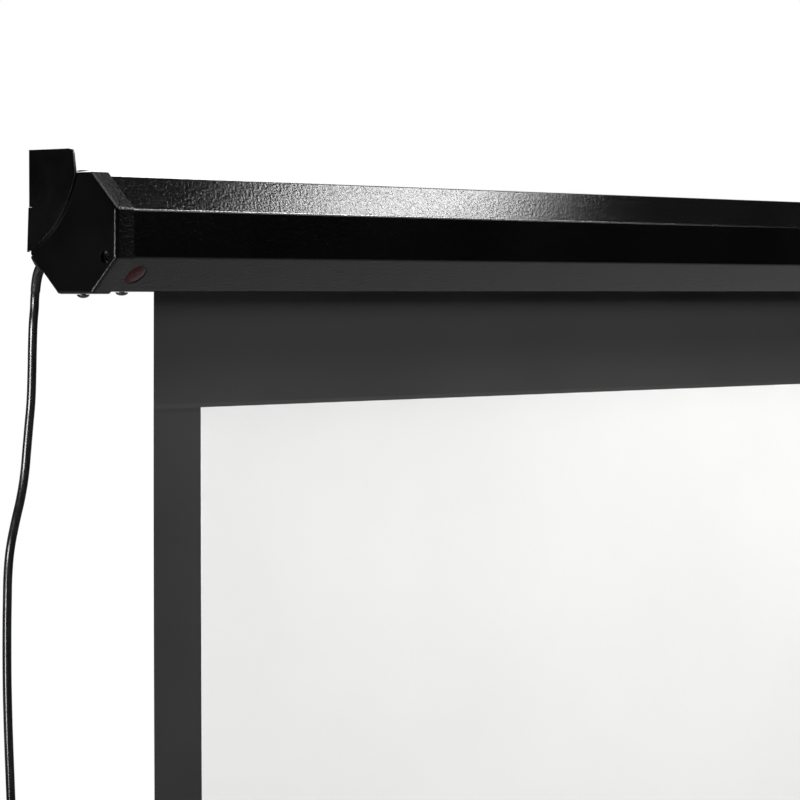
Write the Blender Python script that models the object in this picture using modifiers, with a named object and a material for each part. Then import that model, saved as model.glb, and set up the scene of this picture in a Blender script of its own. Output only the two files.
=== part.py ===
"""Motorized projector screen: a black octagonal case on two wall brackets, with a motor-driven roller,
a white picture area in black borders, a weight bar and a mains cord.

Metres, +Z up. X runs along the case, -Y faces the viewer and the wall is the plane y = 0.
The origin lies on the wall, midway between the brackets, level with the seats of the wall screws.
"""

import math

import bmesh
import bpy
from mathutils import Vector

# Picture and fabric
IMAGE_WIDTH = 2.214
IMAGE_HEIGHT = 1.245
SIDE_BORDER = 0.049
TOP_DROP = 0.0856
BOTTOM_BORDER = 0.048
FABRIC = 0.0005
FABRIC_INSET = 0.090

# Case and end caps; the rear faces lie further from the axis than the others, close to the wall
CASE_ACROSS = 0.082
CASE_REAR = 0.0442
CAP_TOP = 0.0438
CASE_SHEET = 0.001
BEND = 0.0012
CAP_SHEET = 0.0012
CAP_DEPTH = 0.018
CAP_EDGE = 0.003
LIP = 0.005
SLOT_WIDTH = 0.0085
GAP = 0.0003

# Wall brackets, heights measured from the case's axis
BRACKET_SHEET = 0.002
BRACKET_TOP = 0.0602
BRACKET_FRONT = -0.0020
BRACKET_BULGE = (-0.0040, 0.0415)
BRACKET_TIP = (0.0453, -0.0125)
BRACKET_ARC = 0.088
BRACKET_BEND = 0.0048
BRACKET_SLIT = 0.0003
FLANGE_WIDTH = 0.038
FLANGE_BOTTOM = 0.0195
KEYHOLE_INWARD = 0.020
KEYHOLE_SEAT = 0.046
KEYHOLE_ENTRY = 0.036
KEYHOLE_SHANK = 0.0026
KEYHOLE_HEAD = 0.005

# Screws and the infrared window; "inward" is along the case from a cap's outer face
CAP_SCREW_INWARD = 0.0092
SUPPORT_SCREW_INWARD = 0.043
SUPPORT_SCREW_Y = -0.0046
SCREW_HEAD = 0.0046
WINDOW_INWARD = 0.033
WINDOW_RADIUS = 0.0085

# Roller and its drive
ROLLER_RADIUS = 0.020
ROLLER_SHEET = 0.0008
ROLLER_INWARD = 0.0413
GROOVE_DEPTH = 0.0012
GROOVE_ANGLE = 10.0
WRAP_THICKNESS = 0.0009
MOTOR_RADIUS = 0.0175
MOTOR_LENGTH = 0.440
HEAD_RADIUS = 0.022
HEAD_FROM = 0.0073
HEAD_TO = 0.031
SUPPORT_SHEET = 0.002
SUPPORT_FROM = 0.0048
FOOT_TO = 0.055
PIN_RADIUS = 0.004
HEAD_SCREW_Z = 0.015
LIMIT_SCREW = 0.0018
LIMIT_HOLE = 0.0044
LIMIT_Y = -0.031
LIMIT_Z = -0.0165
LIMIT_SPACING = 0.0048

# Weight bar, heights measured from its top
BAR_OVERHANG = 0.006
BAR_HALF_DEPTH = 0.008
BAR_HEIGHT = 0.028
BAR_WALL = 0.0014
KEDER_RADIUS = 0.0017
KEDER_DEPTH = 0.0034
NECK = 0.0014

# Mains cord, and the boot that it leaves the case by
BOOT_INWARD = 0.0068
BOOT_Y = 0.0388
BOOT_RADIUS = 0.0040
BOOT_TIP = (0.0017, 0.0412, -0.0410)
OUTLET_WIDTH = 0.0106
CORD_RADIUS = 0.0033
CORD_LENGTH = 1.5
CORD_POINTS = 80

# Worked out from the above
APOTHEM = CASE_ACROSS / 2
CAP_APOTHEM = APOTHEM + GAP + CAP_SHEET
CAP_REAR = CASE_REAR + GAP + CAP_SHEET
WALL = CAP_REAR + GAP
FABRIC_WIDTH = IMAGE_WIDTH + 2 * SIDE_BORDER
LENGTH = FABRIC_WIDTH + 2 * FABRIC_INSET
WRAP_RADIUS = ROLLER_RADIUS + GAP + WRAP_THICKNESS
FABRIC_Y = 0.0095
ROLLER_Y = FABRIC_Y - FABRIC / 2 - GAP - WRAP_RADIUS
SLOT_FRONT = FABRIC_Y - SLOT_WIDTH / 2
SLOT_REAR = FABRIC_Y + SLOT_WIDTH / 2
IMAGE_TOP = -APOTHEM - TOP_DROP
IMAGE_BOTTOM = IMAGE_TOP - IMAGE_HEIGHT
BAR_TOP = IMAGE_BOTTOM - BOTTOM_BORDER

ALONG_X = (math.pi / 2, 0, math.pi / 2)
UPRIGHT = (0, 0, 0)
UPSIDE_DOWN = (math.pi, 0, 0)
FRONT_SLANT = (math.radians(135), 0, 0)
REAR_SLANT = (math.radians(-135), 0, 0)


def clear_scene():
    for obj in list(bpy.data.objects):
        bpy.data.objects.remove(obj, do_unlink=True)


def new_collection(name):
    collection = bpy.data.collections.new(name)
    bpy.context.scene.collection.children.link(collection)
    return collection


def new_paint(name, colour, roughness, metallic=0.0):
    material = bpy.data.materials.new(name)
    material.use_nodes = True
    shader = material.node_tree.nodes["Principled BSDF"]
    shader.inputs["Base Color"].default_value = (*colour, 1.0)
    shader.inputs["Roughness"].default_value = roughness
    shader.inputs["Metallic"].default_value = metallic
    material.diffuse_color = (*colour, 1.0)
    return material


def new_empty(name, location, parent=None):
    empty = bpy.data.objects.new(name, None)
    empty.location = location
    empty.parent = parent
    PARTS.objects.link(empty)
    return empty


clear_scene()
PARTS = new_collection("projector_screen")
CUTTERS = new_collection("cutters")
CASE_AXIS = new_empty("case_axis", (0, -WALL, -KEYHOLE_SEAT))
ROLLER_AXIS = new_empty("roller_axis", (0, ROLLER_Y, 0), CASE_AXIS)
BAR_AXIS = new_empty("bar_axis", (0, FABRIC_Y, BAR_TOP), CASE_AXIS)


def at_end(end, inward):
    """The x this far inward from an end cap's outer face; end is -1 on the left and 1 on the right."""
    return end * (LENGTH / 2 - inward)


def side(end):
    return "left" if end < 0 else "right"


def outward(end):
    """The rotation that turns a piece's own +Z out of an end of the case."""
    return (0, end * math.pi / 2, 0)


def arc(centre, radius, start, stop, steps):
    """Points along a circular arc, its angles in degrees."""
    angles = [math.radians(start + (stop - start) * i / steps) for i in range(steps + 1)]
    return [
        (centre[0] + radius * math.cos(a), centre[1] + radius * math.sin(a)) for a in angles
    ]


def octagon(apothem, rear, top):
    """The corners as (y, z), counterclockwise from the upper end of the rear face."""
    slant = apothem * math.sqrt(2)
    return [
        (rear, slant - rear),
        (slant - top, top),
        (top - slant, top),
        (-apothem, slant - apothem),
        (-apothem, apothem - slant),
        (apothem - slant, -apothem),
        (slant - apothem, -apothem),
        (rear, rear - slant),
    ]


def rounded_rectangle(width, height, radius, steps=4):
    x, y = width / 2 - radius, height / 2 - radius
    corners = ((x, y, 0), (-x, y, 90), (-x, -y, 180), (x, -y, 270))
    return [
        point for cx, cy, a in corners for point in arc((cx, cy), radius, a, a + 90, steps)
    ]


def smooth_route(points, count, start=1.0):
    """Points on a smooth curve through the given ones; a start under 1 spaces the first ones closer."""
    knots = [Vector(p) for p in points]
    padded = [2 * knots[0] - knots[1], *knots, 2 * knots[-1] - knots[-2]]
    fine = []
    for a, b, c, d in zip(padded, padded[1:], padded[2:], padded[3:]):
        for step in range(24):
            t = step / 24
            fine.append(
                0.5
                * (
                    2 * b
                    + (c - a) * t
                    + (2 * a - 5 * b + 4 * c - d) * t * t
                    + (3 * b - a - 3 * c + d) * t**3
                )
            )
    fine.append(knots[-1])
    reached = [0.0]
    for a, b in zip(fine, fine[1:]):
        reached.append(reached[-1] + (b - a).length)
    route, i = [], 0
    for n in range(count):
        way = n / (count - 1)
        target = reached[-1] * way * (start + (1 - start) * way)
        while i < len(fine) - 2 and reached[i + 1] < target:
            i += 1
        share = (target - reached[i]) / (reached[i + 1] - reached[i])
        route.append(fine[i].lerp(fine[i + 1], share))
    return route


def finish(mesh, angle=30):
    mesh.shade_smooth()
    mesh.set_sharp_from_angle(angle=math.radians(angle))


def mesh_from(bm, name):
    mesh = bpy.data.meshes.new(name)
    bm.to_mesh(mesh)
    bm.free()
    return mesh


def add(name, data, paint, location=(0, 0, 0), rotation=UPRIGHT, parent=CASE_AXIS):
    obj = bpy.data.objects.new(name, data)
    obj.location = location
    obj.rotation_euler = rotation
    obj.parent = parent
    if paint is None:
        obj.hide_render = True
        obj.display_type = "WIRE"
        CUTTERS.objects.link(obj)
    else:
        data.materials.append(paint)
        PARTS.objects.link(obj)
    return obj


def made_solid(obj):
    """Replaces an object's data by the mesh that its curve or its modifiers make, with the seams welded."""
    bpy.context.view_layer.update()
    graph = bpy.context.evaluated_depsgraph_get()
    mesh = bpy.data.meshes.new_from_object(obj.evaluated_get(graph))
    bm = bmesh.new()
    bm.from_mesh(mesh)
    bmesh.ops.remove_doubles(bm, verts=bm.verts, dist=1e-6)
    bmesh.ops.recalc_face_normals(bm, faces=bm.faces)
    bm.to_mesh(mesh)
    bm.free()
    finish(mesh)
    solid = bpy.data.objects.new(obj.name, mesh)
    solid.location = obj.location
    solid.rotation_euler = obj.rotation_euler
    solid.parent = obj.parent
    solid.hide_render = obj.hide_render
    solid.display_type = obj.display_type
    for collection in obj.users_collection:
        collection.objects.link(solid)
    name = obj.name
    bpy.data.objects.remove(obj, do_unlink=True)
    solid.name = name
    return solid


def plate(name, loops, thickness, paint, location, rotation=ALONG_X, parent=CASE_AXIS):
    """A flat outline, with any holes as further loops, given a thickness about its own plane."""
    curve = bpy.data.curves.new(name, "CURVE")
    curve.dimensions = "2D"
    curve.fill_mode = "BOTH"
    curve.extrude = thickness / 2
    for loop in loops:
        spline = curve.splines.new("POLY")
        spline.points.add(len(loop) - 1)
        for point, (u, v) in zip(spline.points, loop):
            point.co = (u, v, 0, 1)
        spline.use_cyclic_u = True
    return made_solid(add(name, curve, paint, location, rotation, parent))


def turned(name, profile, paint, location, rotation, parent=CASE_AXIS, steps=32, ring=False):
    """A profile of (radius, height) points, top to bottom down its outer side, turned about its own Z."""
    bm = bmesh.new()
    verts = [bm.verts.new((radius, 0, height)) for radius, height in profile]
    for a, b in zip(verts, verts[1:]):
        bm.edges.new((a, b))
    if ring:
        bm.edges.new((verts[-1], verts[0]))
    obj = add(name, mesh_from(bm, name), paint, location, rotation, parent)
    screw = obj.modifiers.new("turn", "SCREW")
    screw.steps = screw.render_steps = steps
    screw.use_merge_vertices = True
    screw.merge_threshold = 1e-5
    return made_solid(obj)


def tube(name, route, radii, paint, resolution=2):
    """A round tube along a route, with one radius or a radius for each point."""
    curve = bpy.data.curves.new(name, "CURVE")
    curve.dimensions = "3D"
    curve.bevel_depth = 1.0 if isinstance(radii, list) else radii
    curve.bevel_resolution = resolution
    curve.use_fill_caps = True
    spline = curve.splines.new("POLY")
    spline.points.add(len(route) - 1)
    for i, (point, place) in enumerate(zip(spline.points, route)):
        point.co = (*place, 1)
        if isinstance(radii, list):
            point.radius = radii[i]
    return add(name, curve, paint)


def block(name, size, paint, location, rotation=UPRIGHT, parent=CASE_AXIS, edge=0.0):
    bm = bmesh.new()
    bmesh.ops.create_cube(bm, size=1.0)
    bmesh.ops.scale(bm, vec=size, verts=bm.verts)
    obj = add(name, mesh_from(bm, name), paint, location, rotation, parent)
    if edge:
        bevel = obj.modifiers.new("edges", "BEVEL")
        bevel.width = edge
        bevel.segments = 2
    return obj


def rod_cutter(name, radius, length, location, rotation, parent=CASE_AXIS, sides=24):
    bm = bmesh.new()
    bmesh.ops.create_cone(
        bm, cap_ends=True, segments=sides, radius1=radius, radius2=radius, depth=length
    )
    return add(name, mesh_from(bm, name), None, location, rotation, parent)


def combine(obj, other, operation="DIFFERENCE"):
    boolean = obj.modifiers.new(other.name, "BOOLEAN")
    boolean.operation = operation
    boolean.object = other


def bent_sheet(obj, thickness, width, segments=3, by_weight=False):
    """Rounds an open surface's bends and gives it its thickness on the side that its normals leave."""
    bevel = obj.modifiers.new("bends", "BEVEL")
    bevel.width = width
    bevel.segments = segments
    if by_weight:
        bevel.limit_method = "WEIGHT"
    solidify = obj.modifiers.new("sheet", "SOLIDIFY")
    solidify.thickness = thickness
    solidify.offset = -1


def weigh_bends(bm, weight=1.0, higher=None):
    """Marks the edges between two faces for a Bevel by weight, and fully those that `higher` picks."""
    layer = bm.edges.layers.float.new("bevel_weight_edge")
    for edge in bm.edges:
        if len(edge.link_faces) == 2:
            edge[layer] = 1.0 if higher and higher(edge) else weight


def point_normals(bm, way):
    """Turns an open surface so that the face furthest along this way looks along it."""
    bmesh.ops.recalc_face_normals(bm, faces=bm.faces)
    bm.normal_update()
    way = Vector(way)
    furthest = max(bm.faces, key=lambda face: face.calc_center_median().dot(way))
    if furthest.normal.dot(way) < 0:
        bmesh.ops.reverse_faces(bm, faces=bm.faces)


def drawn_surface(bm, profile, x_from, x_to, closed=False):
    """An open surface that carries a (y, z) profile along the case."""
    verts = [bm.verts.new((x_from, y, z)) for y, z in profile]
    edges = [bm.edges.new(pair) for pair in zip(verts, verts[1:])]
    if closed:
        edges.append(bm.edges.new((verts[-1], verts[0])))
    drawn = bmesh.ops.extrude_edge_only(bm, edges=edges)["geom"]
    moved = [v for v in drawn if isinstance(v, bmesh.types.BMVert)]
    bmesh.ops.translate(bm, vec=(x_to - x_from, 0, 0), verts=moved)
    point_normals(bm, (0, 0, 1))


BLACK_CASE = new_paint("black_case", (0.012, 0.012, 0.013), 0.42)
BLACK_CAP = new_paint("black_cap", (0.014, 0.014, 0.015), 0.38)
BLACK_BRACKET = new_paint("black_bracket", (0.013, 0.013, 0.014), 0.45)
SCREW_STEEL = new_paint("black_screw", (0.03, 0.03, 0.03), 0.3, 1.0)
ZINC = new_paint("zinc_plate", (0.55, 0.56, 0.58), 0.35, 1.0)
MOTOR_SHELL = new_paint("motor_shell", (0.03, 0.03, 0.035), 0.4, 0.6)
GREY_PLASTIC = new_paint("grey_plastic", (0.16, 0.16, 0.17), 0.5)
PALE_PLASTIC = new_paint("pale_plastic", (0.62, 0.61, 0.58), 0.45)
BLACK_PLASTIC = new_paint("black_plastic", (0.02, 0.02, 0.022), 0.5)
RED_LENS = new_paint("red_lens", (0.10, 0.008, 0.012), 0.12)
GREEN_BOARD = new_paint("circuit_board", (0.02, 0.11, 0.05), 0.5)
WHITE_SCREEN = new_paint("picture_white", (0.86, 0.86, 0.85), 0.85)
BLACK_FABRIC = new_paint("black_fabric", (0.02, 0.02, 0.02), 0.8)
BLACK_BAR = new_paint("black_bar", (0.015, 0.015, 0.016), 0.35)
BLACK_RUBBER = new_paint("black_rubber", (0.012, 0.012, 0.012), 0.4)
BRASS = new_paint("plug_brass", (0.72, 0.55, 0.28), 0.3, 1.0)


def pan_head_screw(name, head, dome, shank, length, location, rotation, paint, sides=20):
    """A domed head above its seat, which is the piece's own z = 0, and a plain shank below."""
    profile = [
        (0, dome),
        (head * 0.45, dome * 0.93),
        (head * 0.8, dome * 0.68),
        (head, dome * 0.25),
        (head, 0),
        (shank, 0),
        (shank, -length + shank * 0.4),
        (shank * 0.6, -length),
        (0, -length),
    ]
    return turned(name, profile, paint, location, rotation, steps=sides)


def case():
    corners = octagon(APOTHEM, CASE_REAR, APOTHEM)
    lip_top = LIP - APOTHEM
    rear_lip = [(SLOT_REAR, lip_top), (SLOT_REAR, -APOTHEM)]
    front_lip = [(SLOT_FRONT, -APOTHEM), (SLOT_FRONT, lip_top)]
    profile = [*rear_lip, *corners[6:], *corners[:6], *front_lip]
    clear = CAP_EDGE + GAP
    bm = bmesh.new()
    drawn_surface(bm, profile, at_end(-1, clear), at_end(1, clear))
    obj = add("case", mesh_from(bm, "case"), BLACK_CASE)
    bent_sheet(obj, CASE_SHEET, BEND)
    return obj


def end_cap(end):
    """A pressed cap: an octagonal face with a rounded rim and a flange over the case."""
    bm = bmesh.new()
    outline = octagon(CAP_APOTHEM, CAP_REAR, CAP_TOP)
    face = bm.faces.new([bm.verts.new((at_end(end, 0), y, z)) for y, z in outline])
    drawn = bmesh.ops.extrude_edge_only(bm, edges=face.edges)["geom"]
    moved = [v for v in drawn if isinstance(v, bmesh.types.BMVert)]
    bmesh.ops.translate(bm, vec=(-end * CAP_DEPTH, 0, 0), verts=moved)
    point_normals(bm, (end, 0, 0))
    rim = abs(at_end(end, 0)) - 1e-6
    weigh_bends(bm, BEND / CAP_EDGE, lambda edge: all(abs(v.co.x) > rim for v in edge.verts))
    name = f"end_cap_{side(end)}"
    obj = add(name, mesh_from(bm, name), BLACK_CAP)
    bent_sheet(obj, CAP_SHEET, CAP_EDGE, by_weight=True)
    return obj


def bracket_outline():
    """The end plate's (y, z) outline: straight at the wall, a rounded top corner, one long bulging arc."""
    start, stop = Vector(BRACKET_BULGE), Vector(BRACKET_TIP)
    chord = stop - start
    across = Vector((-chord.y, chord.x)).normalized()
    centre = start + chord / 2 + across * math.sqrt(BRACKET_ARC**2 - (chord.length / 2) ** 2)
    first = math.degrees(math.atan2(start.y - centre.y, start.x - centre.x)) % 360
    last = math.degrees(math.atan2(stop.y - centre.y, stop.x - centre.x)) % 360
    bulge = arc(centre, BRACKET_ARC, first, last, 14)
    corner = 0.004
    top = arc((BRACKET_FRONT + corner, BRACKET_TOP - corner), corner, 90, 180, 4)
    return [(WALL, BRACKET_TOP)] + top + bulge


def wall_bracket(end):
    """Bent sheet: the end plate beside the cap, and above the case a flange with a keyhole in it."""
    x = at_end(end, -GAP - BRACKET_SHEET)
    bm = bmesh.new()
    slit_end, slit_z = WALL - BRACKET_BEND - 0.001, FLANGE_BOTTOM - BRACKET_SLIT
    rear = [(WALL - 0.0022, slit_z), (slit_end, slit_z), (slit_end, FLANGE_BOTTOM)]
    outline = [*bracket_outline(), *rear, (WALL, FLANGE_BOTTOM)]
    face = bm.faces.new([bm.verts.new((x, y, z)) for y, z in outline])
    at_wall = [edge for edge in face.edges if all(v.co.y > WALL - 1e-6 for v in edge.verts)]
    bend = [edge for edge in at_wall if all(v.co.z > FLANGE_BOTTOM - 1e-6 for v in edge.verts)]
    drawn = bmesh.ops.extrude_edge_only(bm, edges=bend)["geom"]
    moved = [v for v in drawn if isinstance(v, bmesh.types.BMVert)]
    reach = BRACKET_SHEET + GAP + FLANGE_WIDTH
    bmesh.ops.translate(bm, vec=(-end * reach, 0, 0), verts=moved)
    point_normals(bm, (0, 1, 0))
    weigh_bends(bm)
    name = f"wall_bracket_{side(end)}"
    obj = add(name, mesh_from(bm, name), BLACK_BRACKET)
    bent_sheet(obj, BRACKET_SHEET, BRACKET_BEND, segments=5, by_weight=True)
    entry = arc((0, 0), KEYHOLE_HEAD, 123, 417, 16)
    seat = arc((0, KEYHOLE_SEAT - KEYHOLE_ENTRY), KEYHOLE_SHANK, 0, 180, 8)
    keyhole = plate(
        f"keyhole_{side(end)}",
        [entry + seat],
        4 * BRACKET_SHEET,
        None,
        (at_end(end, KEYHOLE_INWARD), WALL, KEYHOLE_ENTRY),
        (math.pi / 2, 0, 0),
    )
    combine(obj, keyhole)
    return obj


def support(end, name):
    """A bulkhead that fits inside the case and stands on a foot, screwed to the case's bottom."""
    inset = CASE_SHEET + 0.0014
    corners = octagon(APOTHEM - inset, CASE_REAR - inset, APOTHEM - inset)
    foot_z = -APOTHEM + CASE_SHEET + GAP
    foot_rear, foot_front = SLOT_FRONT - 0.0015, corners[5][0] + 0.0012
    above_lip = LIP - APOTHEM + 0.0008
    outline = [(foot_rear, foot_z), (foot_rear, above_lip), (CASE_REAR - inset, 0.006)]
    outline += [*corners[:5], (foot_front - 0.0022, above_lip - 0.002), (foot_front, foot_z)]
    bm = bmesh.new()
    x = at_end(end, SUPPORT_FROM)
    face = bm.faces.new([bm.verts.new((x, y, z)) for y, z in outline])
    bend = [edge for edge in face.edges if all(v.co.z < foot_z + 1e-6 for v in edge.verts)]
    drawn = bmesh.ops.extrude_edge_only(bm, edges=bend)["geom"]
    moved = [v for v in drawn if isinstance(v, bmesh.types.BMVert)]
    bmesh.ops.translate(bm, vec=(end * (SUPPORT_FROM - FOOT_TO), 0, 0), verts=moved)
    point_normals(bm, (0, 0, -1))
    weigh_bends(bm)
    obj = add(name, mesh_from(bm, name), ZINC)
    bent_sheet(obj, SUPPORT_SHEET, 0.003, by_weight=True)
    return obj


def screws_through_case(the_case, caps, supports):
    """Cap screws above and below each cap, and a screw under each support's foot, with their holes."""
    for end in (-1, 1):
        for level, z, dome, rotation in (
            ("top", CAP_TOP + GAP, 0.0012, UPRIGHT),
            ("bottom", -CAP_APOTHEM - GAP, 0.0026, UPSIDE_DOWN),
        ):
            seat = (at_end(end, CAP_SCREW_INWARD), 0, z)
            name = f"cap_screw_{level}_{side(end)}"
            pan_head_screw(name, SCREW_HEAD, dome, 0.002, 0.0075, seat, rotation, SCREW_STEEL)
            hole = rod_cutter(f"{name}_hole", 0.0023, 0.012, seat, UPRIGHT)
            combine(the_case, hole)
            combine(caps[end], hole)
            if level == "bottom":
                combine(supports[end], hole)
        name = f"support_screw_{side(end)}"
        seat = (at_end(end, SUPPORT_SCREW_INWARD), SUPPORT_SCREW_Y, -APOTHEM - GAP)
        pan_head_screw(name, SCREW_HEAD, 0.0024, 0.002, 0.0070, seat, UPSIDE_DOWN, SCREW_STEEL)
        hole = rod_cutter(f"{name}_hole", 0.0023, 0.014, seat, UPRIGHT)
        combine(the_case, hole)
        combine(supports[end], hole)


def screws_into_brackets(caps, brackets):
    """Two screws at each end, from inside the cap into blind threads in the bracket's plate."""
    for end in (-1, 1):
        for level, y, z in (("upper", 0.0140, 0.0270), ("lower", 0.0270, 0.0040)):
            name = f"bracket_screw_{level}_{side(end)}"
            seat = (at_end(end, CAP_SHEET + GAP), y, z)
            way = outward(-end)
            shank = CAP_SHEET + 2 * GAP + BRACKET_SHEET - 0.0008
            pan_head_screw(name, 0.0036, 0.0018, 0.0018, shank, seat, way, ZINC, 16)
            bottom = (at_end(end, -GAP - BRACKET_SHEET + 0.0004 + 0.004), y, z)
            hole = rod_cutter(f"{name}_hole", 0.0021, 0.008, bottom, outward(end), sides=16)
            combine(caps[end], hole)
            combine(brackets[end], hole)


def infrared_window(the_case):
    """A dark red lens pushed through the lower front slant, held by the rim inside."""
    seat = (at_end(-1, WINDOW_INWARD), -APOTHEM * math.sqrt(0.5), -APOTHEM * math.sqrt(0.5))
    r = WINDOW_RADIUS
    rim = -CASE_SHEET - GAP
    profile = [
        (0, 0.0011),
        (r * 0.5, 0.0009),
        (r * 0.82, 0.0005),
        (r, -0.0002),
        (r, rim),
        (r + 0.0015, rim),
        (r + 0.0015, rim - 0.001),
        (0, rim - 0.001),
    ]
    turned("infrared_window", profile, RED_LENS, seat, FRONT_SLANT)
    combine(the_case, rod_cutter("window_hole", r + GAP, 0.006, seat, FRONT_SLANT, sides=32))


def receiver_board():
    """A small circuit board behind the window, with the round infrared sensor on it."""
    reach = (APOTHEM - 0.0078) * math.sqrt(0.5)
    seat = (at_end(-1, WINDOW_INWARD), -reach, -reach)
    board = block("receiver_board", (0.022, 0.014, 0.0016), GREEN_BOARD, seat, FRONT_SLANT)
    dome = [(0, 0.0046), (0.0014, 0.0043), (0.0024, 0.0032), (0.0026, 0.0018), (0.0026, 0), (0, 0)]
    combine(board, turned("sensor_dome", dome, None, seat, FRONT_SLANT, steps=16), "UNION")


def motor():
    """Head, tube and output shaft; the head's ear holds the two limit-setting screws."""
    face_x = at_end(-1, 0)
    face = (face_x, ROLLER_Y, 0)
    spigot = HEAD_FROM - 0.0028
    head = turned(
        "motor_head",
        [
            (0, -spigot),
            (0.0074, -spigot),
            (0.0080, -spigot - 0.0006),
            (0.0080, -HEAD_FROM),
            (HEAD_RADIUS - 0.001, -HEAD_FROM),
            (HEAD_RADIUS, -HEAD_FROM - 0.001),
            (HEAD_RADIUS, -HEAD_TO + 0.006),
            (MOTOR_RADIUS + 0.0012, -HEAD_TO),
            (0, -HEAD_TO),
        ],
        BLACK_PLASTIC,
        face,
        outward(-1),
        steps=32,
    )
    ear_depth = 0.013
    ear_place = (at_end(-1, HEAD_FROM + ear_depth / 2), LIMIT_Y + 0.002, LIMIT_Z + 0.0018)
    ear = plate(
        "head_ear", [rounded_rectangle(0.0175, 0.0095, 0.004)], ear_depth, None, ear_place
    )
    combine(head, ear, "UNION")
    for name, across in (("up", -0.5), ("down", 0.5)):
        y = LIMIT_Y + across * LIMIT_SPACING
        place = (at_end(-1, HEAD_FROM + 0.003), y, LIMIT_Z)
        combine(
            head,
            rod_cutter(f"limit_bore_{name}", LIMIT_SCREW + GAP, 0.0130, place, outward(-1)),
        )
    for name, up in (("upper", 1), ("lower", -1)):
        seat = (at_end(-1, SUPPORT_FROM - GAP), ROLLER_Y, up * HEAD_SCREW_Z)
        way = outward(-1)
        pan_head_screw(f"motor_screw_{name}", 0.004, 0.0022, 0.0022, 0.012, seat, way, ZINC, 16)
        combine(head, rod_cutter(f"motor_screw_{name}_bore", 0.0025, 0.030, seat, outward(-1)))
    tube_end = HEAD_TO + GAP + MOTOR_LENGTH
    turned(
        "motor_tube",
        [
            (0, -HEAD_TO - GAP),
            (MOTOR_RADIUS, -HEAD_TO - GAP),
            (MOTOR_RADIUS, -tube_end + 0.006),
            (MOTOR_RADIUS - 0.0008, -tube_end + 0.005),
            (MOTOR_RADIUS - 0.0008, -tube_end + 0.003),
            (MOTOR_RADIUS, -tube_end + 0.002),
            (MOTOR_RADIUS - 0.001, -tube_end),
            (0, -tube_end),
        ],
        MOTOR_SHELL,
        face,
        outward(-1),
        steps=28,
    )
    return tube_end


def limit_screws():
    """Two small screws with a hexagonal socket, turned through the hole in the left cap."""
    for name, across in (("up", -0.5), ("down", 0.5)):
        y = LIMIT_Y + across * LIMIT_SPACING
        head = HEAD_FROM - 0.0012
        screw = turned(
            f"limit_screw_{name}",
            [
                (0, 0),
                (LIMIT_SCREW - 0.0003, 0),
                (LIMIT_SCREW, -0.0003),
                (LIMIT_SCREW, -0.0092),
                (0, -0.0092),
            ],
            BLACK_PLASTIC,
            (at_end(-1, head), y, LIMIT_Z),
            outward(-1),
            steps=16,
        )
        socket = rod_cutter(
            f"hex_socket_{name}",
            0.0010,
            0.005,
            (at_end(-1, head), y, LIMIT_Z),
            outward(-1),
            sides=6,
        )
        combine(screw, socket)


def groove_points(radius, depth, half):
    """A circle with the shallow flat-bottomed groove that takes the fabric's edge, at its top."""
    round_part = arc((0, 0), radius, 90 + half, 450 - half, 40)
    inner = arc((0, 0), radius - depth, 90 - half * 0.75, 90 + half * 0.75, 2)
    return round_part + inner


def roller_tube():
    bm = bmesh.new()
    profile = groove_points(ROLLER_RADIUS, GROOVE_DEPTH, GROOVE_ANGLE)
    x_from, x_to = at_end(-1, ROLLER_INWARD), at_end(1, ROLLER_INWARD)
    drawn_surface(bm, profile, x_from, x_to, closed=True)
    obj = add("roller_tube", mesh_from(bm, "roller_tube"), ZINC, parent=ROLLER_AXIS)
    solidify = obj.modifiers.new("wall", "SOLIDIFY")
    solidify.thickness = ROLLER_SHEET
    solidify.offset = -1


def insert_outline():
    """What fits inside the roller tube: its inner outline, less a running gap."""
    return groove_points(ROLLER_RADIUS - ROLLER_SHEET - GAP, GROOVE_DEPTH, 1.5 * GROOVE_ANGLE)


def crown_ring():
    """The loose ring on the motor's tube, with a flange that the roller's left end turns against."""
    bore = MOTOR_RADIUS + GAP
    flange = 0.003
    sleeve_outer = ROLLER_RADIUS - ROLLER_SHEET - GAP
    stop = ROLLER_INWARD - GAP
    profile = [
        (bore, -stop + flange),
        (ROLLER_RADIUS + 0.0008, -stop + flange),
        (ROLLER_RADIUS + 0.0008, -stop),
        (sleeve_outer, -stop),
        (sleeve_outer, -stop - 0.015),
        (bore, -stop - 0.015),
    ]
    face = (at_end(-1, 0), 0, 0)
    ring = turned(
        "crown_ring", profile, GREY_PLASTIC, face, outward(-1), ROLLER_AXIS, 32, ring=True
    )
    key_width = 2 * ROLLER_RADIUS * math.sin(math.radians(GROOVE_ANGLE)) + 4 * GAP
    place = (at_end(-1, stop + 0.0101), 0, ROLLER_RADIUS - 0.001)
    key = block("crown_keyway", (0.020, key_width, 0.006), None, place, parent=ROLLER_AXIS)
    combine(ring, key)


def drive_wheel(tube_end):
    """The lobed wheel on the motor's shaft, keyed to the groove of the roller tube."""
    shaft_r, flat = 0.005, 0.0036
    angle = math.degrees(math.acos(flat / shaft_r))
    shaft = arc((0, 0), shaft_r, angle, 360 - angle, 20)
    bore_r, bore_flat = shaft_r + GAP, flat + GAP
    bore_angle = math.degrees(math.acos(bore_flat / bore_r))
    bore = arc((0, 0), bore_r, bore_angle, 360 - bore_angle, 20)
    shaft_length = 0.022
    x = at_end(-1, tube_end + GAP + shaft_length / 2)
    plate("motor_shaft", [shaft], shaft_length, ZINC, (x, 0, 0), parent=ROLLER_AXIS)
    windows = []
    for n in range(6):
        middle = 30 + 60 * n
        outer = arc((0, 0), 0.0155, middle - 20, middle + 20, 5)
        inner = arc((0, 0), 0.0090, middle + 16, middle - 16, 3)
        windows.append(outer + inner)
    x = at_end(-1, tube_end + 0.010)
    loops = [insert_outline(), bore, *windows]
    plate("drive_wheel", loops, 0.014, GREY_PLASTIC, (x, 0, 0), parent=ROLLER_AXIS)


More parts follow.
